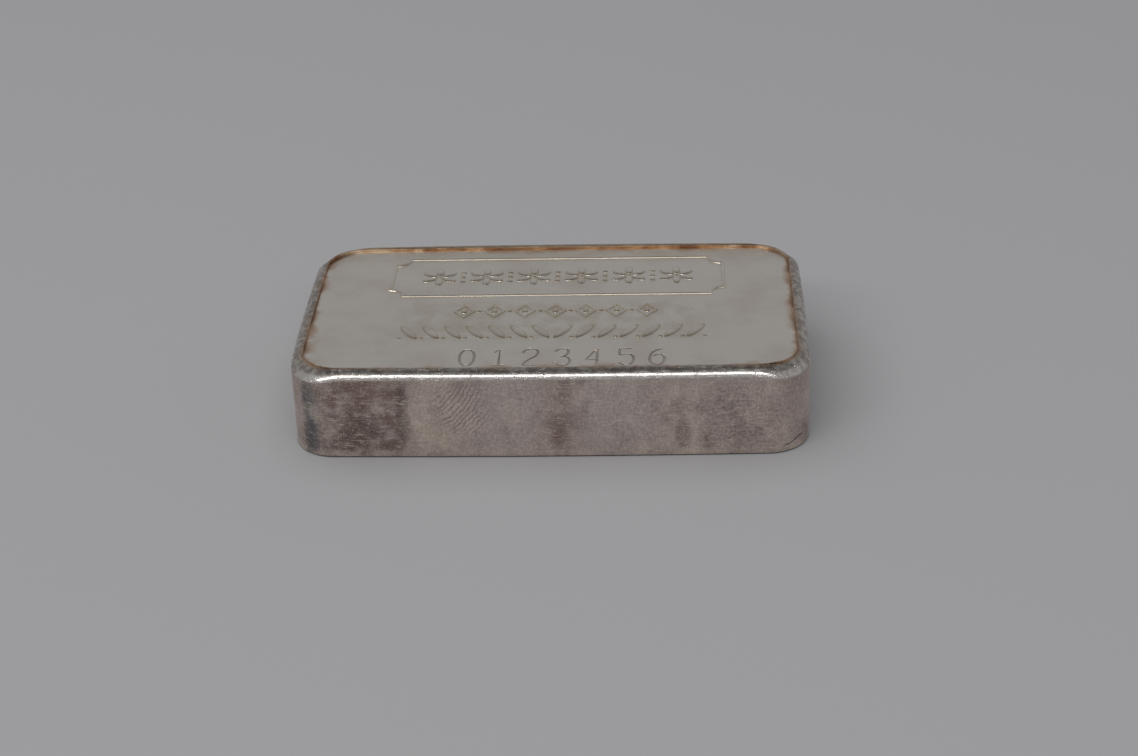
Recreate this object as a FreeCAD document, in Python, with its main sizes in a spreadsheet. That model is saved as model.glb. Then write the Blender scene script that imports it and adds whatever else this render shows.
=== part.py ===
"""A ten-ounce silver bar, struck from one blank of fine silver.

The bar is one piece of metal and lies flat on its underside, with its long side along X.
Its walls swell a little between round upright corners. Near the top the metal hasn't quite
filled the die's corners, so they slump to a larger radius. The die leaves a sunk flat field
on the top face, with a raised rim round it that rolls over into the walls. The underside is
plain, with a small broken edge all round.

Frame: millimetres, +Z up, origin at the middle of the underside.
"""

import math
import os

import FreeCAD
import Part
import Sketcher

SIZES = [
    ("length", "66.2", "along X, over the swell of the end walls"),
    ("width", "38.4", "along Y, over the swell of the long walls"),
    ("thickness", "12.2", "underside to the top of the rim"),
    ("corner_radius", "5.5", "upright corners, in plan"),
    ("long_wall_swell", "0.3", "middle of a long wall, out from its ends"),
    ("end_wall_swell", "0.12", "middle of an end wall, out from its ends"),
    ("rim_width", "1.6", "wall to the edge of the sunk field"),
    ("field_depth", "0.35", "top of the rim down to the sunk field"),
    ("field_corner_radius", "4.75", "corners of the sunk field, in plan"),
    ("slump_height", "2.2", "top part of the walls, where the corners slump"),
    ("corner_slump", "2.0", "growth of the corner radius from there to the rim"),
    ("shoulder_radius", "0.5", "round of the rim over the walls"),
    ("step_radius", "0.2", "round of the rim over the sunk field"),
    ("foot_radius", "0.3", "round of the walls under the bar"),
]
CROWN_SECTIONS = [  # (share of the slump height, share of the corner slump)
    (0, 0),
    (0.35, 0.1),
    (0.7, 0.42),
    (1, 1),
]
LEVEL_TOLERANCE = 1e-4


def write_sheet(doc):
    """Keeps the driving sizes in a spreadsheet, one aliased cell each."""
    sheet = doc.addObject("Spreadsheet::Sheet", "Sizes")
    for row, (name, value, note) in enumerate(SIZES, start=1):
        sheet.set(f"A{row}", name)
        sheet.set(f"B{row}", value)
        sheet.set(f"C{row}", note)
        sheet.setAlias(f"B{row}", name)
    doc.recompute()
    return sheet


def swell_radius(wall, corner, swell):
    """Expression for the radius of a wall that swells between two round corners."""
    half_chord = f"({wall} / 2 - {corner})"
    return f"({half_chord} * {half_chord} + {swell} * {swell}) / (2 * {swell})"


def swollen_outline(body, name, height, inset, corner):
    """A sketch of the bar's outline, centred on Z, at a height and drawn in by an inset.

    Eight arcs meet tangent to each other: four walls with a slight swell and four corners.
    height, inset and corner are expressions on the sheet.
    """
    sketch = body.newObject("Sketcher::SketchObject", name)
    plane = next(o for o in body.Origin.OriginFeatures if o.Role == "XY_Plane")
    sketch.AttachmentSupport = [(plane, "")]
    sketch.MapMode = "FlatFace"
    sketch.setExpression(".AttachmentOffset.Base.z", height)

    length = f"(Sizes.length - 2 * {inset})"
    width = f"(Sizes.width - 2 * {inset})"
    long_radius = swell_radius(length, corner, "Sizes.long_wall_swell")
    end_radius = swell_radius(width, corner, "Sizes.end_wall_swell")

    # each arc is first drawn near its place, from the sheet's present values; the constraints set the rest
    value = {key: sketch.evalExpression(text) for key, text in {
        "x": f"{length} / 2", "y": f"{width} / 2", "corner": corner,
        "long": long_radius, "end": end_radius}.items()}
    value = {key: float(getattr(number, "Value", number)) for key, number in value.items()}
    up = FreeCAD.Vector(0, 0, 1)
    quarter = math.pi / 2
    inner_x = value["x"] - value["corner"]
    inner_y = value["y"] - value["corner"]
    walls = []
    corners = []
    for turn in range(4):
        along_y = turn % 2 == 0
        sign = 1 if turn < 2 else -1
        radius = value["end"] if along_y else value["long"]
        reach = value["x"] if along_y else value["y"]
        half_span = (inner_y if along_y else inner_x) / radius
        offset = sign * (reach - radius)
        middle = FreeCAD.Vector(offset, 0, 0) if along_y else FreeCAD.Vector(0, offset, 0)
        facing = turn * quarter
        circle = Part.Circle(middle, up, radius)
        wall = Part.ArcOfCircle(circle, facing - half_span, facing + half_span)
        walls.append(sketch.addGeometry(wall, False))
        corner_x = inner_x if turn in (0, 3) else -inner_x
        corner_y = inner_y if turn < 2 else -inner_y
        circle = Part.Circle(FreeCAD.Vector(corner_x, corner_y, 0), up, value["corner"])
        corners.append(sketch.addGeometry(Part.ArcOfCircle(circle, facing, facing + quarter), False))
    constrain = sketch.addConstraint
    for turn in range(4):
        following = walls[(turn + 1) % 4]
        constrain(Sketcher.Constraint("Tangent", walls[turn], 2, corners[turn], 1))
        constrain(Sketcher.Constraint("Tangent", corners[turn], 2, following, 1))
    for turn in range(1, 4):
        constrain(Sketcher.Constraint("Equal", corners[0], corners[turn]))
    x_axis, y_axis, origin = -1, -2, (-1, 1)
    for turn, wall in enumerate(walls):
        along_y = turn % 2 == 0
        constrain(Sketcher.Constraint("PointOnObject", wall, 3, x_axis if along_y else y_axis))
        kind = "DistanceX" if along_y else "DistanceY"
        reach = f"{length} / 2" if along_y else f"{width} / 2"
        radius = end_radius if along_y else long_radius
        gap = value["end"] - value["x"] if along_y else value["long"] - value["y"]
        if turn < 2:
            placed = constrain(Sketcher.Constraint(kind, wall, 3, *origin, gap))
        else:
            placed = constrain(Sketcher.Constraint(kind, *origin, wall, 3, gap))
        sketch.setExpression(f"Constraints[{placed}]", f"{radius} - {reach}")
        sized = constrain(Sketcher.Constraint("Radius", wall, value["end"] if along_y else value["long"]))
        sketch.setExpression(f"Constraints[{sized}]", radius)
    sized = constrain(Sketcher.Constraint("Radius", corners[0], value["corner"]))
    sketch.setExpression(f"Constraints[{sized}]", corner)
    return sketch


def level_edges(shape, height, reach=None):
    """Names of the edges that lie wholly at one height and, if a reach is given, within it along X."""
    names = []
    for index, edge in enumerate(shape.Edges, start=1):
        box = edge.BoundBox
        level = abs(box.ZMin - height) < LEVEL_TOLERANCE and abs(box.ZMax - height) < LEVEL_TOLERANCE
        if level and (reach is None or max(box.XMax, -box.XMin) <= reach):
            names.append(f"Edge{index}")
    return names


def round_edges(body, name, base, edges, radius):
    """A fillet of the named edges, its radius bound to the sheet."""
    fillet = body.newObject("PartDesign::Fillet", name)
    fillet.Base = (base, edges)
    fillet.setExpression("Radius", radius)
    body.Document.recompute()
    return fillet


def make_crown(body):
    """The top part of the block: a loft through outlines whose corners grow rounder with height."""
    outlines = []
    for number, (height_share, slump_share) in enumerate(CROWN_SECTIONS):
        height = f"Sizes.thickness - Sizes.slump_height * {1 - height_share:g}"
        corner = f"Sizes.corner_radius + Sizes.corner_slump * {slump_share:g}"
        outlines.append(swollen_outline(body, f"crown_outline_{number}", height, "0", corner))
    crown = body.newObject("PartDesign::AdditiveLoft", "crown")
    crown.Profile = outlines[0]
    crown.Sections = outlines[1:]
    crown.Ruled = False
    body.Document.recompute()
    return crown


def make_bar(doc, sheet):
    """The bar: a struck block, the rounds of its rim and foot, and its sunk field."""
    body = doc.addObject("PartDesign::Body", "silver_bar")
    body.Label = "silver_bar"

    block = body.newObject("PartDesign::Pad", "block")
    block.Profile = swollen_outline(body, "wall_outline", "0", "0", "Sizes.corner_radius")
    block.setExpression("Length", "Sizes.thickness - Sizes.slump_height")
    doc.recompute()
    crown = make_crown(body)
    if crown.Shape.Volume <= block.Shape.Volume:
        raise RuntimeError("the crown added nothing")
    top = level_edges(crown.Shape, sheet.thickness)
    shoulder = round_edges(body, "shoulder_round", crown, top, "Sizes.shoulder_radius")
    foot = round_edges(body, "foot_round", shoulder, level_edges(shoulder.Shape, 0), "Sizes.foot_radius")

    field = body.newObject("PartDesign::Pocket", "sunk_field")
    field.Profile = swollen_outline(
        body, "field_outline", "Sizes.thickness", "Sizes.rim_width", "Sizes.field_corner_radius")
    field.setExpression("Length", "Sizes.field_depth")
    doc.recompute()
    if field.Shape.Volume >= foot.Shape.Volume:
        raise RuntimeError("the sunk field cut nothing")
    reach = sheet.length / 2 - sheet.rim_width + LEVEL_TOLERANCE
    brink = level_edges(field.Shape, sheet.thickness, reach)
    step = round_edges(body, "step_round", field, brink, "Sizes.step_radius")
    body.Tip = step
    doc.recompute()
    return body


def check_document(doc):
    """Stops if any object failed or is left without a sound shape."""
    for thing in doc.Objects:
        if {"Invalid", "Error"} & set(thing.State):
            raise RuntimeError(f"{thing.Name} did not build: {thing.State}")


def write_parts(pieces):
    """Writes each piece's solid to parts/NODE.step, named by its label."""
    os.makedirs("parts", exist_ok=True)
    for piece in pieces:
        if piece.Shape.isNull() or not piece.Shape.isValid():
            raise RuntimeError(f"{piece.Label} has no sound shape")
        piece.Shape.exportStep(f"parts/{piece.Label}.step")


document = FreeCAD.newDocument("SilverBar")
sizes = write_sheet(document)
bar = make_bar(document, sizes)
check_document(document)
write_parts([bar])
print(f"volume {bar.Shape.Volume:.1f} mm3, solids {len(bar.Shape.Solids)}, box {bar.Shape.optimalBoundingBox(False)}")
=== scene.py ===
import math
import random

import bmesh
import bpy
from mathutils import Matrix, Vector


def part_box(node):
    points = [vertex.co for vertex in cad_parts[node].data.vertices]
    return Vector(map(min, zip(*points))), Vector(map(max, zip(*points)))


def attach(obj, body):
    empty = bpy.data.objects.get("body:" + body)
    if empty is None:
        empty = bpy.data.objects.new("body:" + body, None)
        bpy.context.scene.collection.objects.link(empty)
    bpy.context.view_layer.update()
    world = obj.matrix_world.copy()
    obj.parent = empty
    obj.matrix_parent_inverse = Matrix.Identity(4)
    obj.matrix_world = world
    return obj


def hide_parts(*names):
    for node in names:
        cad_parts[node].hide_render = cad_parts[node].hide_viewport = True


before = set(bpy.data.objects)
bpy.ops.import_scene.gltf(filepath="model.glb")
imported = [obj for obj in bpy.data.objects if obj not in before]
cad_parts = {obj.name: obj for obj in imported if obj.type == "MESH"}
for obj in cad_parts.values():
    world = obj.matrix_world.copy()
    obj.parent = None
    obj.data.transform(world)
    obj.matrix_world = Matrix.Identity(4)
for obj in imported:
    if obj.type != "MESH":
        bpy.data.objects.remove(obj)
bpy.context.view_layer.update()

# ---------------------------------------------------------------- the struck block
# One thick blank of fine silver, pressed cold between two dies. Its walls swell a little, its
# top corners slump where the metal didn't fill the die, and the upper die leaves a sunk field
# inside a raised rim.
MM = 0.001
QUARTER = math.pi / 2
low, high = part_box("silver_bar")
LENGTH = high.x - low.x
WIDTH = high.y - low.y
THICKNESS = high.z - low.z
LONG_SWELL = 0.3 * MM
END_SWELL = 0.12 * MM
CORNER_RADIUS = 5.5 * MM
CORNER_SLUMP = 2.0 * MM
SLUMP_HEIGHT = 2.2 * MM
SLUMP_POWER = 2.4
# the shoulder also sags on the corners, from SAG_START inward of both walls, and SAG_FOOT is
# the height on the wall where the sag has faded out
CORNER_SAG = 0.9 * MM
SAG_START = 9.0 * MM
SAG_FULL_AREA = 50.0 * MM * MM
SAG_FOOT = 8.5 * MM
SHOULDER_RADIUS = 1.25 * MM
FOOT_RADIUS = 0.3 * MM
RIM_WIDTH = 1.6 * MM
FIELD_CORNER_RADIUS = 4.75 * MM
FIELD_LEVEL = THICKNESS - 0.35 * MM
STEP_RADIUS = 0.2 * MM
FOOT_ROWS, WALL_ROWS, SHOULDER_ROWS, STEP_ROWS = 4, 19, 15, 4
LONG_STEPS, END_STEPS, CORNER_STEPS = 260, 140, 40
RING_POINTS = 2 * (LONG_STEPS + END_STEPS) + 4 * CORNER_STEPS


def swollen_ring(length, width, corner, inset):
    """Points of a closed outline: four swollen walls that meet four corners tangent, drawn in by an inset."""
    end_radius = ((width / 2 - corner) ** 2 + END_SWELL ** 2) / (2 * END_SWELL)
    long_radius = ((length / 2 - corner) ** 2 + LONG_SWELL ** 2) / (2 * LONG_SWELL)
    end_centre = Vector((length / 2 - end_radius, 0))
    long_centre = Vector((0, width / 2 - long_radius))
    # the corner's centre lies where two circles round the walls' centres cross
    between = long_centre - end_centre
    along = ((end_radius - corner) ** 2 - (long_radius - corner) ** 2 + between.length_squared) / (
        2 * between.length)
    aside = math.sqrt((end_radius - corner) ** 2 - along ** 2)
    axis = between.normalized()
    corner_centre = end_centre + axis * along + Vector((-axis.y, axis.x)) * aside
    end_angle = math.atan2(corner_centre.y, corner_centre.x - end_centre.x)
    long_angle = math.atan2(corner_centre.x, corner_centre.y - long_centre.y)
    points = []
    for turn in range(4):
        on_end = turn % 2 == 0
        side = 1 if turn < 2 else -1
        wall_centre = Vector((side * end_centre.x, 0)) if on_end else Vector((0, side * long_centre.y))
        before, after = (end_angle, long_angle) if on_end else (long_angle, end_angle)
        side_x = 1 if turn in (0, 3) else -1
        side_y = 1 if turn < 2 else -1
        arcs = [
            (wall_centre, end_radius if on_end else long_radius,
             turn * QUARTER - before, 2 * before, END_STEPS if on_end else LONG_STEPS),
            (Vector((side_x * corner_centre.x, side_y * corner_centre.y)), corner,
             turn * QUARTER + before, QUARTER - before - after, CORNER_STEPS),
        ]
        for centre, radius, start, sweep, steps in arcs:
            for step in range(steps):
                angle = start + sweep * step / steps
                points.append(centre + (radius - inset) * Vector((math.cos(angle), math.sin(angle))))
    return points


def slumped_corner(height):
    """Corner radius at a height: it grows quickly just under the rim."""
    share = max(0.0, (height - THICKNESS + SLUMP_HEIGHT) / SLUMP_HEIGHT)
    return CORNER_RADIUS + CORNER_SLUMP * share ** SLUMP_POWER


def corner_sag(x, y):
    """How far the shoulder sags at a place: nothing along the sides, all of it on a corner."""
    into_x = max(0.0, abs(x) - LENGTH / 2 + SAG_START)
    into_y = max(0.0, abs(y) - WIDTH / 2 + SAG_START)
    return CORNER_SAG * min(1.0, into_x * into_y / SAG_FULL_AREA) ** 2


def section_rows():
    """Each ring from the foot, up and over to the field.

    A row holds its share of the sag, its height, length, width and corner radius, and its inset.
    """
    rows = []
    for step in range(FOOT_ROWS):
        turn = QUARTER * step / (FOOT_ROWS - 1)
        rows.append((0.0, FOOT_RADIUS * (1 - math.cos(turn)), LENGTH, WIDTH, CORNER_RADIUS,
                     FOOT_RADIUS * (1 - math.sin(turn))))
    wall_top = THICKNESS - SHOULDER_RADIUS
    for step in range(1, WALL_ROWS + 1):
        height = FOOT_RADIUS + (wall_top - FOOT_RADIUS) * step / (WALL_ROWS + 1)
        sag = max(0.0, (height - SAG_FOOT) / (THICKNESS - SAG_FOOT))
        rows.append((sag, height, LENGTH, WIDTH, slumped_corner(height), 0.0))
    for step in range(SHOULDER_ROWS):
        turn = QUARTER * step / (SHOULDER_ROWS - 1)
        height = THICKNESS - SHOULDER_RADIUS * (1 - math.sin(turn))
        sag = (height - SAG_FOOT) / (THICKNESS - SAG_FOOT) * math.cos(turn)
        rows.append((sag, height, LENGTH, WIDTH, slumped_corner(height),
                     SHOULDER_RADIUS * (1 - math.cos(turn))))
    brink_inset = RIM_WIDTH - STEP_RADIUS
    brink = (LENGTH - 2 * brink_inset, WIDTH - 2 * brink_inset, FIELD_CORNER_RADIUS + STEP_RADIUS)
    for step in range(STEP_ROWS):
        turn = QUARTER * step / (STEP_ROWS - 1)
        rows.append((0.0, THICKNESS - STEP_RADIUS * (1 - math.cos(turn)), *brink,
                     STEP_RADIUS * math.sin(turn)))
    rows.append((0.0, FIELD_LEVEL, *brink, STEP_RADIUS))
    return rows


def lay_ring(mesh_object, sag, height, length, width, corner, inset):
    """Moves the selected cap's points, in their order round it, to a ring at a height."""
    cap = bmesh.from_edit_mesh(mesh_object.data)
    face = next(face for face in cap.faces if face.select)
    for vertex, point in zip(face.verts, swollen_ring(length, width, corner, inset)):
        vertex.co = (point.x, point.y, height - sag * corner_sag(point.x, point.y))
    bmesh.update_edit_mesh(mesh_object.data)


bpy.ops.object.select_all(action="DESELECT")
bpy.ops.mesh.primitive_circle_add(vertices=RING_POINTS, radius=WIDTH / 2, fill_type="NGON")
bar = bpy.context.object
bar.name = "struck_bar"
bpy.ops.object.mode_set(mode="EDIT")
bpy.ops.mesh.select_mode(type="FACE")
for number, row in enumerate(section_rows()):
    if number > 0:
        bpy.ops.mesh.extrude_region_move(TRANSFORM_OT_translate={"value": (0, 0, MM)})
    lay_ring(bar, *row)
bpy.ops.mesh.select_all(action="SELECT")
bpy.ops.mesh.normals_make_consistent(inside=False)
bpy.ops.object.mode_set(mode="OBJECT")

# ---------------------------------------------------------------- the struck ornament
# Relief that the upper die raises on the sunk field, all of it the bar's own metal: a plaque
# frame with scooped corners round a row of rosettes, then a row of lozenges and one of leaves.
RELIEF = 0.17 * MM
SUNK = 0.1 * MM
PLAQUE_CENTRE = Vector((0.25 * MM, 8.8 * MM))
PLAQUE_SIZE = (44.6 * MM, 11.2 * MM)
PLAQUE_LINE = 0.7 * MM
PLAQUE_SCOOP = 1.9 * MM
ROSETTE_COUNT, ROSETTE_PITCH = 6, 6.4 * MM
PETAL_COUNT = 6
PETAL_REACH = 1.5 * MM
# rows: middle along X, middle along Y, count and pitch
LOZENGE_ROW = (0.35 * MM, -1.5 * MM, 7, 4.0 * MM)
LEAF_ROW = (0.1 * MM, -7.45 * MM, 14, 2.85 * MM)
SOFT_EDGE = 0.1 * MM
made_reliefs = []


def raise_outline(name, line_width):
    """Turns the filled outline being edited into a raised line of one width with softened edges."""
    bpy.ops.mesh.inset(thickness=line_width)
    bpy.ops.mesh.delete(type="FACE")
    bpy.ops.mesh.select_all(action="SELECT")
    bpy.ops.mesh.extrude_region_move(TRANSFORM_OT_translate={"value": (0, 0, SUNK + RELIEF)})
    bpy.ops.mesh.region_to_loop()
    bpy.ops.mesh.bevel(offset=SOFT_EDGE, segments=2, affect="EDGES")
    bpy.ops.mesh.select_all(action="SELECT")
    bpy.ops.mesh.normals_make_consistent(inside=False)
    bpy.ops.object.mode_set(mode="OBJECT")
    bpy.context.object.name = name
    made_reliefs.append(bpy.context.object)


def apply_place():
    """Applies the selected object's place, turn and scale to its mesh."""
    bpy.ops.object.transform_apply(location=True, rotation=True, scale=True)


def add_bead(x, y, half_width, half_length, rise, slant=0.0):
    """A low domed bead, petal or leaf, its middle at the field's level."""
    bpy.ops.mesh.primitive_uv_sphere_add(
        segments=20, ring_count=12, radius=1, location=(x, y, FIELD_LEVEL), rotation=(0, 0, slant))
    bead = bpy.context.object
    bead.scale = (half_width, half_length, rise)
    apply_place()
    made_reliefs.append(bead)


frame_curve = bpy.data.curves.new("plaque_frame", "CURVE")
frame_curve.dimensions = "3D"
frame_curve.bevel_depth = PLAQUE_LINE / 2
frame_curve.bevel_resolution = 3
spline = frame_curve.splines.new("POLY")
scoop_steps = 10
spline.points.add(4 * (scoop_steps + 1) - 1)
spline.use_cyclic_u = True
for corner_number, (side_x, side_y) in enumerate(((1, 1), (-1, 1), (-1, -1), (1, -1))):
    for step in range(scoop_steps + 1):
        turn = (corner_number - 1 - step / scoop_steps) * QUARTER
        spline.points[corner_number * (scoop_steps + 1) + step].co = (
            side_x * PLAQUE_SIZE[0] / 2 + PLAQUE_SCOOP * math.cos(turn),
            side_y * PLAQUE_SIZE[1] / 2 + PLAQUE_SCOOP * math.sin(turn), 0, 1)
plaque_frame = bpy.data.objects.new("plaque_frame", frame_curve)
bpy.context.collection.objects.link(plaque_frame)
plaque_frame.location = (*PLAQUE_CENTRE, FIELD_LEVEL)
plaque_frame.scale.z = RELIEF / (PLAQUE_LINE / 2)
bpy.ops.object.select_all(action="DESELECT")
plaque_frame.select_set(True)
bpy.context.view_layer.objects.active = plaque_frame
bpy.ops.object.convert(target="MESH")
apply_place()
made_reliefs.append(bpy.context.object)

for number in range(ROSETTE_COUNT):
    x = PLAQUE_CENTRE.x + (number - (ROSETTE_COUNT - 1) / 2) * ROSETTE_PITCH
    add_bead(x, PLAQUE_CENTRE.y, 0.3 * MM, 0.3 * MM, 0.9 * RELIEF)
    for petal in range(PETAL_COUNT):
        turn = petal * 2 * math.pi / PETAL_COUNT
        add_bead(x - PETAL_REACH * math.sin(turn), PLAQUE_CENTRE.y + PETAL_REACH * math.cos(turn),
                 0.56 * MM, 1.08 * MM, RELIEF, turn)
    if number < ROSETTE_COUNT - 1:
        for place in (-1.35, 0, 1.35):
            add_bead(x + ROSETTE_PITCH / 2, PLAQUE_CENTRE.y + place * MM,
                     0.38 * MM, 0.38 * MM, 0.9 * RELIEF)

row_x, row_y, count, pitch = LOZENGE_ROW
for number in range(count):
    x = row_x + (number - (count - 1) / 2) * pitch
    bpy.ops.object.select_all(action="DESELECT")
    bpy.ops.mesh.primitive_circle_add(vertices=4, radius=1, fill_type="NGON",
                                      location=(x, row_y, FIELD_LEVEL - SUNK))
    bpy.context.object.scale = (1.45 * MM, 2.0 * MM, 1)
    apply_place()
    bpy.ops.object.mode_set(mode="EDIT")
    raise_outline("lozenge", 0.34 * MM)
    add_bead(x, row_y, 0.45 * MM, 0.6 * MM, 0.8 * RELIEF)
    if number < count - 1:
        add_bead(x + pitch / 2, row_y, 0.34 * MM, 0.34 * MM, 0.8 * RELIEF)

row_x, row_y, count, pitch = LEAF_ROW
for number in range(count):
    place = number - (count - 1) / 2
    lean = math.copysign(math.radians(32), place)
    x = row_x + place * pitch
    add_bead(x, row_y, 0.62 * MM, 2.15 * MM, RELIEF, -lean)
    add_bead(x + math.copysign(1.15 * MM, place), row_y - 1.5 * MM,
             0.32 * MM, 0.32 * MM, 0.9 * RELIEF)


def joined(solids):
    """Joins solids to one object, with every shell closed and facing out."""
    bpy.ops.object.select_all(action="DESELECT")
    for solid in solids:
        solid.select_set(True)
    bpy.context.view_layer.objects.active = solids[0]
    bpy.ops.object.convert(target="MESH")
    bpy.ops.object.join()
    bpy.ops.object.mode_set(mode="EDIT")
    bpy.ops.mesh.select_all(action="SELECT")
    bpy.ops.mesh.remove_doubles(threshold=0.001 * MM)
    bpy.ops.mesh.normals_make_consistent(inside=False)
    bpy.ops.object.mode_set(mode="OBJECT")
    return bpy.context.object


ornament = joined(made_reliefs)


def work_into_bar(tool, operation):
    """Joins a solid to the bar, or cuts the bar with it, and removes the solid."""
    bpy.ops.object.select_all(action="DESELECT")
    bpy.context.view_layer.objects.active = bar
    bar.select_set(True)
    boolean = bar.modifiers.new("work", "BOOLEAN")
    boolean.operation = operation
    boolean.solver = "MANIFOLD"
    boolean.object = tool
    bpy.ops.object.modifier_apply(modifier="work")
    bpy.data.objects.remove(tool)


# ---------------------------------------------------------------- the punched number
# Seven plain figures, cut in one stroke width below the ornament with hand punches. Each is a
# few straight and round strokes on a cell one wide and two high.
FIGURE_SIZE = (1.85 * MM, 2.1 * MM)
FIGURE_BASE = -16.5 * MM
FIGURE_FIRST, FIGURE_PITCH = -11.3 * MM, 4.0 * MM
STROKE_RADIUS = 0.2 * MM
STROKE_LIFT = 0.04 * MM
STROKES = {  # figure: strokes as (round, closed, points)
    "0": [(True, True, [(1, 2), (0, 2), (0, 0), (1, 0)])],
    "1": [(False, False, [(0.2, 1.65), (0.55, 2), (0.55, 0)]),
          (False, False, [(0.15, 0), (0.95, 0)])],
    "2": [(True, False, [(0, 1.5), (0.05, 2.05), (1, 2.1), (1.05, 1.2), (0.35, 0.7), (0, 0)]),
          (False, False, [(0, 0), (1, 0)])],
    "3": [(True, False, [(0.05, 1.65), (0.15, 2.05), (0.95, 2.1), (0.95, 1.15), (0.4, 1.1)]),
          (True, False, [(0.4, 1.1), (1.05, 1.1), (1.1, -0.05), (0.1, -0.1), (0, 0.4)])],
    "4": [(False, False, [(0.75, 0), (0.75, 2)]),
          (False, False, [(0.66, 1.85), (0, 0.6), (1, 0.6)])],
    "5": [(False, False, [(0.95, 2), (0.15, 2), (0.1, 1.15)]),
          (True, False, [(0.1, 1.15), (0.6, 1.4), (1.1, 1.1), (1.05, -0.05), (0.15, -0.1), (0, 0.35)])],
    "6": [(True, False, [(0.9, 1.95), (0.3, 1.75), (0, 1), (0, 0), (0.95, -0.1), (1.05, 1.1), (0.45, 1.35),
                         (0.25, 1.0)])],
}
first_strokes, second_strokes = [], []
for place, figure in enumerate("0123456"):
    for order, (is_round, closed, points) in enumerate(STROKES[figure]):
        stroke_curve = bpy.data.curves.new("stroke", "CURVE")
        stroke_curve.dimensions = "3D"
        stroke_curve.bevel_depth = STROKE_RADIUS
        stroke_curve.bevel_resolution = 2
        stroke_curve.resolution_u = 8
        stroke_curve.use_fill_caps = True
        spline = stroke_curve.splines.new("NURBS" if is_round else "POLY")
        spline.points.add(len(points) - 1)
        for point, (x, y) in zip(spline.points, points):
            point.co = (FIGURE_FIRST + place * FIGURE_PITCH + x * FIGURE_SIZE[0],
                        FIGURE_BASE + y * FIGURE_SIZE[1], FIELD_LEVEL + STROKE_LIFT, 1)
        if is_round:
            spline.order_u = 3
            spline.use_cyclic_u = closed
            spline.use_endpoint_u = not closed
        stroke = bpy.data.objects.new("stroke", stroke_curve)
        bpy.context.collection.objects.link(stroke)
        (second_strokes if order else first_strokes).append(stroke)

# ---------------------------------------------------------------- knocks from handling
# Soft silver takes a mark from every other bar it is stacked with: nicks along the shoulder,
# pits on the rim's corners, notches under the foot and one short split low on a corner.
SHOULDER_NICKS, FRONT_NICKS, CORNER_PITS, FOOT_NOTCHES, SPLIT_BITES = 110, 16, 18, 40, 12
KNOCK_PASSES = 4
chance = random.Random(5)
knocks = []


def add_knock(x, y, z, size):
    """A small hard lump, turned at random, that leaves its print where it bites the bar."""
    bpy.ops.mesh.primitive_ico_sphere_add(
        subdivisions=1, radius=1, location=(x, y, z),
        rotation=(chance.uniform(0, 3), chance.uniform(0, 3), chance.uniform(0, 3)))
    knock = bpy.context.object
    knock.scale = (size, size * chance.uniform(0.3, 0.6), size * chance.uniform(0.5, 1))
    apply_place()
    knocks.append(knock)


def add_shoulder_knock(place, turn, size):
    """A knock on the shoulder.

    place counts points round the ring, and turn is 0 at the wall and a quarter turn on top.
    """
    height = THICKNESS - SHOULDER_RADIUS * (1 - math.sin(turn))
    ring = swollen_ring(LENGTH, WIDTH, slumped_corner(height), SHOULDER_RADIUS * (1 - math.cos(turn)))
    spot = ring[place]
    sag = corner_sag(spot.x, spot.y) * (height - SAG_FOOT) / (THICKNESS - SAG_FOOT) * math.cos(turn)
    add_knock(spot.x, spot.y, height - sag, size)


for number in range(SHOULDER_NICKS):
    add_shoulder_knock(chance.randrange(RING_POINTS), chance.uniform(0.3, 1.3),
                       chance.uniform(0.06, 0.17) * MM)
front_start = RING_POINTS - LONG_STEPS - CORNER_STEPS
for number in range(FRONT_NICKS):
    add_shoulder_knock(front_start + chance.randrange(LONG_STEPS), chance.uniform(0.45, 0.85),
                       chance.uniform(0.14, 0.26) * MM)
for turn in range(4):
    corner_start = (turn // 2) * (LONG_STEPS + END_STEPS + 2 * CORNER_STEPS) + END_STEPS
    corner_start += (turn % 2) * (CORNER_STEPS + LONG_STEPS)
    for number in range(CORNER_PITS):
        add_shoulder_knock(corner_start + chance.randrange(CORNER_STEPS), chance.uniform(0.7, 1.5),
                           chance.uniform(0.08, 0.22) * MM)
foot_ring = swollen_ring(LENGTH, WIDTH, CORNER_RADIUS, 0.1 * MM)
for number in range(FOOT_NOTCHES):
    place = foot_ring[chance.randrange(RING_POINTS)]
    add_knock(place.x, place.y, 0.06 * MM, chance.uniform(0.1, 0.24) * MM)
for number in range(SPLIT_BITES):
    turn = -QUARTER + 0.37 + 0.055 * number
    add_knock(LENGTH / 2 - CORNER_RADIUS + CORNER_RADIUS * math.cos(turn),
              -WIDTH / 2 + CORNER_RADIUS + CORNER_RADIUS * math.sin(turn),
              (0.85 + 0.08 * number + chance.uniform(-0.1, 0.1)) * MM, 0.17 * MM)

# the worn skin of the walls and most of the shoulder: shallow hollows, which only take metal away
UNWORN_SHOULDER_ROWS = 3
worn_end = FOOT_ROWS + WALL_ROWS + SHOULDER_ROWS - UNWORN_SHOULDER_ROWS
skin = bar.vertex_groups.new(name="skin")
skin.add(list(range(FOOT_ROWS * RING_POINTS, worn_end * RING_POINTS)), 1.0, "REPLACE")
bpy.ops.object.select_all(action="DESELECT")
bpy.context.view_layer.objects.active = bar
bar.select_set(True)
for name, size, depth in (("hollows", 5.0 * MM, 0.06 * MM), ("dimples", 0.9 * MM, 0.02 * MM)):
    worn = bpy.data.textures.new(name, "CLOUDS")
    worn.noise_scale = size
    worn.noise_depth = 2
    displace = bar.modifiers.new(name, "DISPLACE")
    displace.texture = worn
    displace.texture_coords = "LOCAL"
    displace.mid_level = 1.15  # above the brightest cloud, so that the skin only moves inward
    displace.strength = depth
    displace.vertex_group = "skin"
for name in ("hollows", "dimples"):
    bpy.ops.object.modifier_apply(modifier=name)
work_into_bar(ornament, "UNION")
work_into_bar(joined(first_strokes), "DIFFERENCE")
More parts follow.
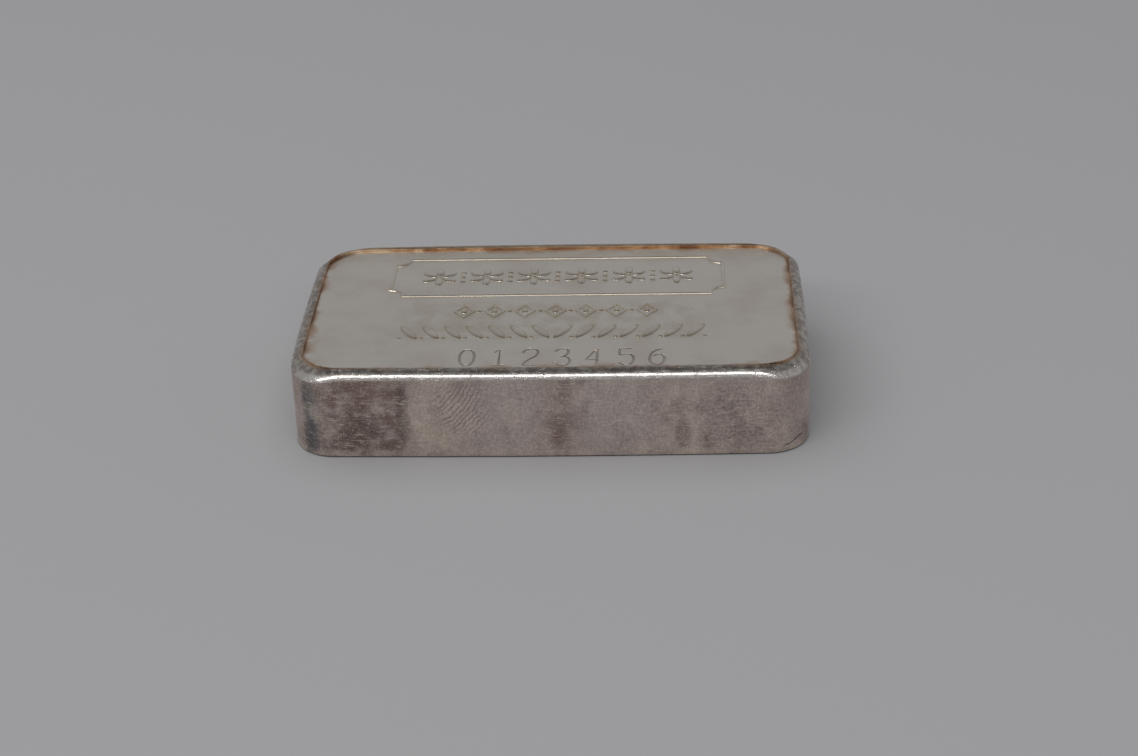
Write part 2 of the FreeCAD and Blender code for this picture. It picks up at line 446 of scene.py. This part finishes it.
work_into_bar(joined(second_strokes), "DIFFERENCE")
for start in range(KNOCK_PASSES):
    work_into_bar(joined(knocks[start::KNOCK_PASSES]), "DIFFERENCE")
bpy.ops.object.select_all(action="DESELECT")
bar.select_set(True)
bpy.context.view_layer.objects.active = bar
bpy.ops.object.shade_smooth_by_angle(angle=math.radians(24))
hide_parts("silver_bar")
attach(bar, "root")

# ---------------------------------------------------------------- tarnished silver
# Fine silver with its natural skin: satin grey on the struck field, brown sulphide toning in
# the crease and on the walls, pale finger marks and rings, bright metal where edges rub, and a painted
# highlight along the front shoulder.
finish = bpy.data.materials.new("tarnished_silver")
finish.use_nodes = True
tree = finish.node_tree
shader = tree.nodes["Principled BSDF"]
shader.inputs["Metallic"].default_value = 1.0


def wire(socket, value):
    """Sets a node's input to a number or vector, or links it to another node's output."""
    if isinstance(value, bpy.types.NodeSocket):
        tree.links.new(value, socket)
    else:
        socket.default_value = value


def sum_of(operation, *values):
    """One Math node, of the named operation."""
    node = tree.nodes.new("ShaderNodeMath")
    node.operation = operation
    for socket, value in zip(node.inputs, values):
        wire(socket, value)
    return node.outputs[0]


def ramp_between(value, start, stop):
    """0 below start and 1 above stop, smooth between; start may be the larger."""
    node = tree.nodes.new("ShaderNodeMapRange")
    node.interpolation_type = "SMOOTHSTEP"
    wire(node.inputs["Value"], value)
    if start < stop:
        limits = (start, stop, 0.0, 1.0)
    else:
        limits = (stop, start, 1.0, 0.0)
    for socket, limit in zip(node.inputs[1:5], limits):
        socket.default_value = limit
    return node.outputs["Result"]


def cloud(scale, stretch=(1, 1, 1), detail=4.0, turn=(0, 0, 0), shift=(0, 0, 0)):
    """Noise over the metal, scale in features per millimetre, about 0.5 on average."""
    mapping = tree.nodes.new("ShaderNodeMapping")
    wire(mapping.inputs["Vector"], place_mm)
    mapping.inputs["Scale"].default_value = stretch
    mapping.inputs["Rotation"].default_value = turn
    mapping.inputs["Location"].default_value = shift
    node = tree.nodes.new("ShaderNodeTexNoise")
    wire(node.inputs["Vector"], mapping.outputs[0])
    node.inputs["Scale"].default_value = scale
    node.inputs["Detail"].default_value = detail
    node.inputs["Roughness"].default_value = 0.6
    return node.outputs["Fac"]


def both(*masks):
    """Where all the masks are."""
    result = masks[0]
    for mask in masks[1:]:
        result = sum_of("MULTIPLY", result, mask)
    return result


def tone(under, over, mask):
    """One colour laid over another where the mask is."""
    node = tree.nodes.new("ShaderNodeMix")
    node.data_type = "RGBA"
    wire(node.inputs["Factor"], mask)
    wire(node.inputs["A"], under)
    wire(node.inputs["B"], over)
    return node.outputs["Result"]


coordinates = tree.nodes.new("ShaderNodeTexCoord")
to_mm = tree.nodes.new("ShaderNodeMapping")
to_mm.inputs["Scale"].default_value = (1000, 1000, 1000)
wire(to_mm.inputs["Vector"], coordinates.outputs["Object"])
place_mm = to_mm.outputs[0]
split = tree.nodes.new("ShaderNodeSeparateXYZ")
wire(split.inputs[0], place_mm)
along_x, along_y, up_z = split.outputs


def stain(x, z, half_width, half_height, soft, ragged, square=2.2):
    """A soft-edged stain on the front wall, about a point, its edge made ragged by noise."""
    edge_x = sum_of("MULTIPLY", sum_of("SUBTRACT", cloud(0.45, shift=(x, 3, z), detail=6.0), 0.5), ragged)
    edge_z = sum_of("MULTIPLY", sum_of("SUBTRACT", cloud(0.35, shift=(z, 9, x), detail=6.0), 0.5), ragged)
    off_x = sum_of("SUBTRACT", sum_of("ADD", along_x, edge_x), x)
    off_z = sum_of("SUBTRACT", sum_of("ADD", up_z, edge_z), z)
    out_x = sum_of("DIVIDE", sum_of("ABSOLUTE", off_x), half_width)
    out_z = sum_of("DIVIDE", sum_of("ABSOLUTE", off_z), half_height)
    reach = sum_of("POWER", sum_of("ADD", sum_of("POWER", out_x, square), sum_of("POWER", out_z, square)),
                   1 / square)
    return both(front, ramp_between(reach, 1 + soft, 1 - soft))


# regions: the top, the front wall, and the distance outward from the field's crease; level is
# the height as it would be without the sag of the corners
sag_inner = ((LENGTH / 2 - SAG_START) / MM, (WIDTH / 2 - SAG_START) / MM)
into_x = sum_of("MAXIMUM", sum_of("SUBTRACT", sum_of("ABSOLUTE", along_x), sag_inner[0]), 0.0)
into_y = sum_of("MAXIMUM", sum_of("SUBTRACT", sum_of("ABSOLUTE", along_y), sag_inner[1]), 0.0)
sag_share = sum_of("MINIMUM", sum_of("DIVIDE", both(into_x, into_y), SAG_FULL_AREA / MM / MM), 1.0)
level = sum_of("ADD", up_z, sum_of("MULTIPLY", both(sag_share, sag_share), 0.8 * CORNER_SAG / MM))
on_top = ramp_between(level, 10.95, 11.35)
front = both(ramp_between(along_y, -17.0, -17.6), ramp_between(level, 11.4, 11.1))
crease_inset = RIM_WIDTH + FIELD_CORNER_RADIUS
half = ((LENGTH / 2 - crease_inset) / MM, (WIDTH / 2 - crease_inset) / MM)
past_x = sum_of("SUBTRACT", sum_of("ABSOLUTE", along_x), half[0])
past_y = sum_of("SUBTRACT", sum_of("ABSOLUTE", along_y), half[1])
corner_x = sum_of("MAXIMUM", past_x, 0.0)
corner_y = sum_of("MAXIMUM", past_y, 0.0)
corner_reach = sum_of("SQRT", sum_of("ADD", both(corner_x, corner_x), both(corner_y, corner_y)))
inner_reach = sum_of("MINIMUM", sum_of("MAXIMUM", past_x, past_y), 0.0)
from_crease = sum_of("SUBTRACT", sum_of("ADD", corner_reach, inner_reach), FIELD_CORNER_RADIUS / MM)
in_field = ramp_between(from_crease, 0.12, -0.1)
near_corner = ramp_between(corner_reach, 1.5, 4.0)

# colours, as fine silver shows them in even light
SATIN = (0.90, 0.85, 0.77, 1)
FIELD_DULL = (0.78, 0.70, 0.61, 1)
RIM_GREY = (0.66, 0.625, 0.57, 1)
WALL_GREY = (0.60, 0.505, 0.46, 1)
WALL_PALE = (0.80, 0.69, 0.60, 1)
WALL_COOL = (0.64, 0.565, 0.535, 1)
BROWN = (0.27, 0.185, 0.15, 1)
DARK = (0.17, 0.125, 0.115, 1)
BLUE_GREY = (0.17, 0.175, 0.185, 1)
AMBER = (0.50, 0.27, 0.11, 1)
RUST_BROWN = (0.22, 0.10, 0.05, 1)
OLIVE = (0.56, 0.47, 0.33, 1)
PALE_WEAR_AND_PAINTED_HIGHLIGHT = (0.93, 0.90, 0.86, 1)
PAINTED_SHADE_BLACK = (0.04, 0.035, 0.035, 1)

mottle = cloud(0.55, detail=6.0)
fine_mottle = cloud(3.2, detail=5.0)
wall = tone(WALL_GREY, BROWN, both(ramp_between(cloud(0.16, detail=6.0), 0.5, 0.72), 0.8))
wall = tone(wall, WALL_PALE, both(ramp_between(cloud(0.3, shift=(7, 1, 4), detail=5.0), 0.5, 0.75), 0.7))
wall = tone(wall, DARK, both(ramp_between(fine_mottle, 0.55, 0.8), 0.45))

# the front wall's own stains, from its left end to its right
grain = cloud(5.0, stretch=(1, 1, 0.6), detail=4.0, shift=(4, 4, 4))
speckle = ramp_between(grain, 0.4, 0.62)
wall = tone(wall, BROWN, both(stain(-23.6, 6.2, 5.6, 7.0, 0.35, 3.0, 4.0),
                              ramp_between(cloud(0.7, (0.6, 1, 1.3), detail=8.0), 0.3, 0.6), 0.85))
wall = tone(wall, DARK, both(stain(-24.6, 2.8, 4.6, 3.4, 0.6, 4.0), ramp_between(cloud(1.4), 0.3, 0.6), 0.7))
wall = tone(wall, BLUE_GREY, both(stain(-30.6, 4.8, 1.3, 6.0, 0.6, 1.2), 0.95))
wall = tone(wall, DARK, both(stain(-18.4, 6.4, 0.75, 4.2, 0.4, 1.6), 0.8))
wall = tone(wall, WALL_PALE, both(stain(-14.0, 5.4, 3.6, 5.6, 0.5, 3.0), 0.7))
wall = tone(wall, WALL_PALE, both(stain(-15.3, 6.7, 0.5, 1.0, 0.5, 1.0), 0.8))
wall = tone(wall, WALL_COOL, both(stain(-6.0, 6.0, 5.0, 6.0, 0.6, 3.0), 0.7))
wall = tone(wall, BROWN, both(stain(1.3, 6.5, 2.0, 6.0, 0.7, 3.5), ramp_between(cloud(1.1), 0.25, 0.6), 0.5))
wall = tone(wall, WALL_COOL, both(stain(8.0, 6.0, 4.5, 6.0, 0.6, 3.0), 0.7))
wall = tone(wall, WALL_PALE, both(stain(16.8, 2.6, 2.3, 3.9, 0.25, 1.2), 0.75))
wall = tone(wall, BROWN, both(stain(16.8, 3.2, 0.9, 2.4, 0.6, 0.9), 0.6))
wall = tone(wall, DARK, both(stain(23.6, 5.4, 5.6, 4.6, 0.7, 4.0),
                             ramp_between(cloud(1.9, (1, 1, 1.6), detail=6.0), 0.4, 0.7), 0.6))
wall = tone(wall, WALL_PALE, both(ramp_between(up_z, 1.5, 0.4), ramp_between(cloud(0.5), 0.3, 0.6), 0.7))
dark_drift = cloud(0.35, (1, 1, 0.7), detail=8.0, shift=(6, 2, 2))
pale_drift = cloud(0.4, (1, 1, 0.6), detail=8.0, shift=(1, 7, 3))
wall = tone(wall, DARK, both(ramp_between(dark_drift, 0.48, 0.7), 0.35))
wall = tone(wall, WALL_PALE, both(ramp_between(pale_drift, 0.5, 0.7), 0.6))
wall = tone(wall, DARK, both(speckle, 0.25))
wall = tone(wall, WALL_PALE, both(ramp_between(grain, 0.45, 0.3), 0.5))
hair = ramp_between(cloud(1.6, (0.35, 0.35, 4.5), detail=3.0, turn=(0.05, 0.12, 0)), 0.6, 0.66)
cross_hair = ramp_between(cloud(1.6, (0.6, 0.6, 4.0), detail=3.0, turn=(0, 0.7, 0)), 0.62, 0.68)
wall = tone(wall, WALL_PALE, both(sum_of("MAXIMUM", hair, cross_hair), 0.7))

# painted shade in the split, a line that climbs to the right from (SPLIT_X, SPLIT_Z), and a painted contact
# shadow under the foot
SPLIT_SLOPE, SPLIT_X, SPLIT_Z = 0.42, 29.6, 0.85
split_line = sum_of("SUBTRACT", up_z,
                    sum_of("MULTIPLY_ADD", along_x, SPLIT_SLOPE, SPLIT_Z - SPLIT_X * SPLIT_SLOPE))
split_line = sum_of("ADD", split_line, sum_of("MULTIPLY", sum_of("SUBTRACT", cloud(1.5), 0.5), 0.8))
# painted shade along the split's line
wall = tone(wall, PAINTED_SHADE_BLACK, both(ramp_between(sum_of("ABSOLUTE", split_line), 0.13, 0.05),
                             ramp_between(along_x, 29.3, 29.8), ramp_between(along_x, 32.3, 31.7),
                             ramp_between(along_y, -12.0, -14.0), 0.8))
# a painted contact shadow along the foot's lowest edge
wall = tone(wall, PAINTED_SHADE_BLACK, ramp_between(up_z, 0.26, 0.12))

# finger marks: fine curved ridges beside the dark band
ridge_centre = tree.nodes.new("ShaderNodeVectorMath")
ridge_centre.operation = "DISTANCE"
wire(ridge_centre.inputs[0], place_mm)
ridge_centre.inputs[1].default_value = (-17.6, -19.1, 12.6)
ridge_wave = sum_of("SINE", sum_of("MULTIPLY", sum_of("ADD", ridge_centre.outputs["Value"],
                                                     sum_of("MULTIPLY", cloud(0.5), 1.2)), 11.5))
ridges = both(ramp_between(ridge_wave, -0.2, 0.7), stain(-11.0, 7.2, 3.4, 3.6, 0.4, 1.0),
              ramp_between(cloud(1.3, shift=(2, 2, 2)), 0.35, 0.5))
wall = tone(wall, BROWN, both(ridges, 0.5))

field = tone(SATIN, FIELD_DULL, both(ramp_between(cloud(0.12, shift=(3, 3, 0)), 0.4, 0.7), 0.6))
field = tone(field, OLIVE, both(ramp_between(along_y, 12.0, 17.5), ramp_between(mottle, 0.2, 0.6), 0.4))
toned_rows = both(ramp_between(sum_of("ABSOLUTE", sum_of("ADD", along_y, 4.4)), 7.0, 4.0),
                  ramp_between(sum_of("ABSOLUTE", along_x), 24.0, 17.0), ramp_between(cloud(0.4), 0.35, 0.6))
field = tone(field, OLIVE, both(toned_rows, 0.28))
flank = both(ramp_between(up_z, 11.852, 11.875), ramp_between(up_z, 11.99, 11.93))
field = tone(field, OLIVE, both(flank, 0.75))
field = tone(field, DARK, both(ramp_between(up_z, 11.84, 11.74), 0.5))

# the crease: an amber to brown line, uneven in width and strongest at the right, left and front
crease_width = sum_of("MULTIPLY", ramp_between(cloud(0.22, shift=(9, 4, 0)), 0.35, 0.7), 1.1)
crease_width = sum_of("ADD", crease_width, 0.25)
inward = sum_of("DIVIDE", sum_of("SUBTRACT", 0.0, from_crease), crease_width)
amber_line = both(ramp_between(inward, 1.6, 0.1), ramp_between(inward, -0.9, -0.1), on_top)
brown_line = both(ramp_between(inward, 0.7, 0.1), ramp_between(inward, -0.6, -0.1), on_top,
                  ramp_between(cloud(0.35, shift=(1, 8, 0), detail=6.0), 0.38, 0.6))
field = tone(field, AMBER, both(amber_line, 0.7))
field = tone(field, RUST_BROWN, both(brown_line, 0.75))

rim = tone(RIM_GREY, DARK, both(ramp_between(cloud(2.2, detail=6.0), 0.5, 0.7), 0.55))
rim = tone(rim, DARK, both(near_corner, ramp_between(cloud(1.2, detail=6.0), 0.4, 0.6), 0.55))
rim = tone(rim, OLIVE, both(ramp_between(along_y, 14.0, 17.5), 0.6))
rim = tone(rim, AMBER, both(amber_line, 0.35))

# the front side only, where the rubbed shoulder also gets a painted highlight
front_highlight_side = ramp_between(along_y, -14.0, -18.0)
rubbed = both(ramp_between(level, 11.0, 11.3), ramp_between(level, 11.95, 11.7),
              ramp_between(cloud(1.1), 0.3, 0.5))
top = tone(rim, field, in_field)
skin_tone = tone(wall, top, on_top)
# paler rubbed metal on the front shoulder, which is also a painted highlight
skin_tone = tone(skin_tone, PALE_WEAR_AND_PAINTED_HIGHLIGHT, both(rubbed, front_highlight_side, 0.6))
skin_tone = tone(skin_tone, DARK, both(ramp_between(cloud(4.5, detail=2.0, shift=(5, 5, 5)), 0.7, 0.76), 0.5))
wire(shader.inputs["Base Color"], skin_tone)

# gloss: satin on the field, duller under the stains, polished on the rubbed shoulder
gloss = sum_of("ADD", sum_of("MULTIPLY", fine_mottle, 0.22), 0.27)
gloss = sum_of("ADD", gloss, sum_of("MULTIPLY", sum_of("SUBTRACT", 1.0, on_top), 0.06))
gloss = sum_of("SUBTRACT", gloss, sum_of("MULTIPLY", rubbed, 0.14))
wire(shader.inputs["Roughness"], gloss)

# relief too fine to model: brushing, crossed scratches, pits and the finger ridges, in millimetres
brushed = cloud(2.0, stretch=(0.25, 6.0, 1.0), detail=3.0, turn=(0, 0, 0.12))
scratch_one = ramp_between(cloud(1.0, stretch=(0.5, 0.5, 9.0), detail=2.0, turn=(0.1, 0.5, 0.3)), 0.62, 0.66)
scratch_two = ramp_between(cloud(1.0, stretch=(8.0, 2.0, 0.6), detail=2.0, turn=(0, -0.5, 0.2)), 0.63, 0.67)
pits = ramp_between(cloud(3.0, detail=3.0, shift=(1, 6, 2)), 0.62, 0.74)
lumps = cloud(1.0, detail=5.0)
height = sum_of("MULTIPLY", both(brushed, in_field), 0.004)
height = sum_of("ADD", height, sum_of("MULTIPLY", lumps, 0.02))
height = sum_of("SUBTRACT", height, sum_of("MULTIPLY", sum_of("ADD", scratch_one, scratch_two), 0.006))
height = sum_of("SUBTRACT", height, sum_of("MULTIPLY", both(pits, sum_of("SUBTRACT", 1.0, in_field)), 0.02))
height = sum_of("SUBTRACT", height, sum_of("MULTIPLY", ridges, 0.012))
bump = tree.nodes.new("ShaderNodeBump")
bump.inputs["Distance"].default_value = MM
wire(bump.inputs["Height"], height)
wire(shader.inputs["Normal"], bump.outputs["Normal"])
bar.data.materials.clear()
bar.data.materials.append(finish)

# ---------------------------------------------------------------- the studio
# A plain grey sheet under the bar, one broad soft lamp overhead, a wide low one in front, and
# a grey room that is darker overhead.
ROOM_GREY = (0.334, 0.333, 0.341, 1)
OVERHEAD_SHARE = 0.3
SHEET_SIZE = 6
bpy.ops.object.select_all(action="DESELECT")
bpy.ops.mesh.primitive_plane_add(size=SHEET_SIZE, location=(0, 0, 0))
floor = bpy.context.object
floor.name = "floor"
paper = bpy.data.materials.new("grey_paper")
paper.use_nodes = True
paper_shader = paper.node_tree.nodes["Principled BSDF"]
paper_shader.inputs["Base Color"].default_value = ROOM_GREY
paper_shader.inputs["Roughness"].default_value = 0.9
paper_shader.inputs["Specular IOR Level"].default_value = 0.1
floor.data.materials.append(paper)

room = bpy.data.worlds.new("room")
bpy.context.scene.world = room
room.use_nodes = True
# the room is as grey as the sheet low down and darker overhead
room_tree = room.node_tree
sky_place = room_tree.nodes.new("ShaderNodeTexCoord")
sky_split = room_tree.nodes.new("ShaderNodeSeparateXYZ")
sky_mix = room_tree.nodes.new("ShaderNodeMapRange")
sky_mix.interpolation_type = "SMOOTHSTEP"
sky_mix.inputs["From Min"].default_value = 0.6
sky_mix.inputs["From Max"].default_value = 0.85
sky_mix.inputs["To Min"].default_value = 1.0
sky_mix.inputs["To Max"].default_value = OVERHEAD_SHARE
room_tree.links.new(sky_place.outputs["Generated"], sky_split.inputs[0])
room_tree.links.new(sky_split.outputs["Z"], sky_mix.inputs["Value"])
room_tree.links.new(sky_mix.outputs["Result"], room_tree.nodes["Background"].inputs["Strength"])
room_tree.nodes["Background"].inputs["Color"].default_value = ROOM_GREY


def add_softbox(name, location, size, power, size_y):
    """A rectangular lamp that faces the bar, its sizes in metres and its power in watts."""
    lamp = bpy.data.lights.new(name, "AREA")
    lamp.shape = "RECTANGLE"
    lamp.size = size
    lamp.size_y = size_y
    lamp.energy = power
    holder = bpy.data.objects.new(name, lamp)
    holder.location = location
    holder.rotation_euler = (-Vector(location)).to_track_quat("-Z", "Y").to_euler()
    bpy.context.collection.objects.link(holder)
    return holder


add_softbox("key", (-0.2, -0.80, 0.70), 1.6, 5.4, 0.16)
overhead = add_softbox("overhead", (-0.2, 0.0, 1.0), 1.6, 9.5, 1.6)
overhead.visible_glossy = False  # it lights the sheet; the metal shows the dark room above

camera = bpy.data.cameras.new("camera")
camera.lens = 70.36
camera.sensor_width = 36.0
camera_holder = bpy.data.objects.new("camera", camera)
camera_holder.location = (0.01477, -0.26176, 0.14308)
camera_holder.rotation_euler = [math.radians(angle) for angle in (61.516, 1.680, 1.938)]
bpy.context.collection.objects.link(camera_holder)
bpy.context.scene.camera = camera_holder
bpy.context.scene.view_settings.view_transform = "Standard"
